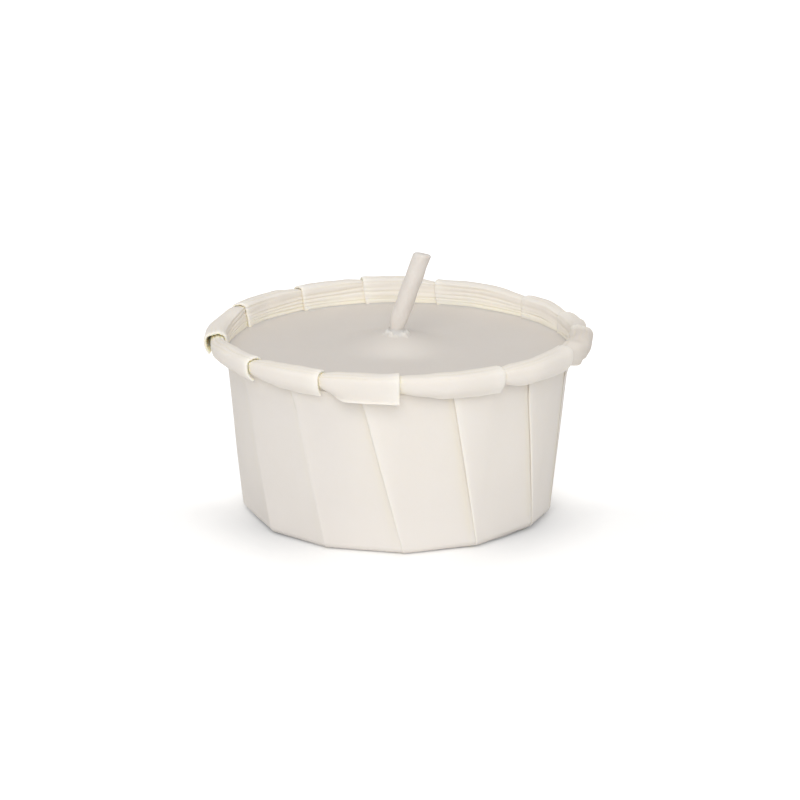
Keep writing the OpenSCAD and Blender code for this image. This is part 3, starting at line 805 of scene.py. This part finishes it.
def tinMaterial():
    material, nodes, links, shader = newMaterial("tinplate")
    wear = addMottle(nodes, Large=500.0, Small=5000.0, Stretch=1.0, Balance=0.5)
    base = mixColour(nodes, links, wear.outputs["Mask"], colours["tin"], colours["tinDark"], 0.4)
    links.new(base, shader.inputs["Base Color"])
    setInputs(shader, {"Metallic": 1})
    addRoughness(nodes, links, wear, (0.28, 0.42), shader)
    addBump(nodes, links, wear, 0.00002, 0.3, shader)
    return material


for piece, material in ((paperCup, paperMaterial()), (waxFill, waxMaterial()), (waxedWick, wickMaterial())):
    piece.data.materials.append(material)
tin = tinMaterial()
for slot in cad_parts["wick_foot"].material_slots:
    slot.material = tin
print("materials made")


# Floor, light and camera

# Lengths here are metres.
studio = {
    "floorSize": 3.0, "floorColour": (0.93, 0.93, 0.93), "floorShade": (0.42, 0.43, 0.45),
    # the painted shade at the foot sets in between these distances to either side, and fades between these
    # places towards the back
    "shadeReach": 0.0075, "shadeAside": (0.004, 0.015), "shadeBack": (0.005, -0.009),
    # the glow at the middle of the floor and at glowReach from there, and what is added behind the cup
    "glow": (0.145, 0.385), "glowReach": 0.4, "glowBehind": 0.25, "behind": (-0.004, 0.008),
    "ambient": 0.61,
    "keyStrength": 4.9, "keySize": 0.7, "keyAt": (-0.07, -0.85, 0.62),
    "topStrength": 0.8, "topSize": 0.5, "topAt": (0, 0, 1.0), "lampAim": (0, 0, 0.01),
    "elevation": 17.2, "distance": 0.32, "target": (0.00016, 0.00045, 0.01164),
    "pixelsPerMetre": 9175, "imageWidth": 800, "sensorWidth": 36, "clip": (0.01, 20),
}


def makeFloor():
    half = studio["floorSize"] / 2
    mesh = bpy.data.meshes.new("floor")
    corners = [(-half, -half, 0), (half, -half, 0), (half, half, 0), (-half, half, 0)]
    mesh.from_pydata(corners, [], [(0, 1, 2, 3)])
    floor = bpy.data.objects.new("floor", mesh)
    bpy.context.scene.collection.objects.link(floor)
    material, nodes, links, shader = newMaterial("whiteSweep")
    setInputs(shader, {"Roughness": 0.9, "Specular IOR Level": 0, "Emission Color": (1, 1, 1, 1)})
    place = nodes.new("ShaderNodeTexCoord").outputs["Object"]
    split = nodes.new("ShaderNodeSeparateXYZ")
    links.new(place, split.inputs[0])
    # painted contact shade in the floor's colour at either side of the foot, darkest where occlusion is
    near = nodes.new("ShaderNodeAmbientOcclusion")
    setInputs(near, {"Distance": studio["shadeReach"]})
    aside = mapRange(nodes, links, maths(nodes, links, "ABSOLUTE", split.outputs["X"]), studio["shadeAside"],
                     eased=True)
    inFront = mapRange(nodes, links, split.outputs["Y"], studio["shadeBack"], eased=True)
    shade = maths(nodes, links, "SUBTRACT", 1, near.outputs["AO"])
    shade = maths(nodes, links, "MULTIPLY", maths(nodes, links, "MULTIPLY", shade, aside), inFront)
    links.new(mixColour(nodes, links, shade, studio["floorColour"], studio["floorShade"]),
              shader.inputs["Base Color"])
    # only the camera sees the floor's glow, which lifts it to white and keeps the shadow
    far = nodes.new("ShaderNodeVectorMath")
    far.operation = "LENGTH"
    links.new(place, far.inputs[0])
    lift = mapRange(nodes, links, far.outputs["Value"], (0, studio["glowReach"]), studio["glow"])
    behind = mapRange(nodes, links, split.outputs["Y"], studio["behind"], (0, studio["glowBehind"]),
                      eased=True)
    seen = nodes.new("ShaderNodeLightPath").outputs["Is Camera Ray"]
    glow = maths(nodes, links, "MULTIPLY", seen, maths(nodes, links, "ADD", lift, behind))
    links.new(glow, shader.inputs["Emission Strength"])
    mesh.materials.append(material)


def makeWorld():
    world = bpy.data.worlds.new("softRoom")
    world.use_nodes = True
    bpy.context.scene.world = world
    nodes, links = world.node_tree.nodes, world.node_tree.links
    back = nodes["Background"]
    setInputs(back, {"Color": (1, 1, 1, 1)})
    # the camera sees it white, and it lights the object less
    seen = nodes.new("ShaderNodeLightPath").outputs["Is Camera Ray"]
    links.new(mapRange(nodes, links, seen, to=(studio["ambient"], 1)), back.inputs["Strength"])


def makeLamp(name):
    light = bpy.data.lights.new(name, "AREA")
    light.shape = "SQUARE"
    light.size = studio[name + "Size"]
    light.energy = studio[name + "Strength"]
    lamp = bpy.data.objects.new(name, light)
    bpy.context.scene.collection.objects.link(lamp)
    lamp.location = studio[name + "At"]
    lamp.rotation_euler = (Vector(studio["lampAim"]) - lamp.location).to_track_quat("-Z", "Y").to_euler()


def makeCamera():
    camera = bpy.data.cameras.new("camera")
    camera.sensor_width = studio["sensorWidth"]
    camera.lens = studio["pixelsPerMetre"] * studio["distance"] * camera.sensor_width / studio["imageWidth"]
    camera.clip_start, camera.clip_end = studio["clip"]
    view = bpy.data.objects.new("camera", camera)
    bpy.context.scene.collection.objects.link(view)
    tilt = math.radians(studio["elevation"])
    back = Vector((0, -math.cos(tilt), math.sin(tilt)))
    view.location = Vector(studio["target"]) + back * studio["distance"]
    view.rotation_euler = (math.pi / 2 - tilt, 0, 0)
    bpy.context.scene.camera = view


makeFloor()
makeWorld()
makeLamp("key")
makeLamp("top")
makeCamera()
bpy.context.scene.view_settings.view_transform = "Standard"
print("floor, light and camera made")
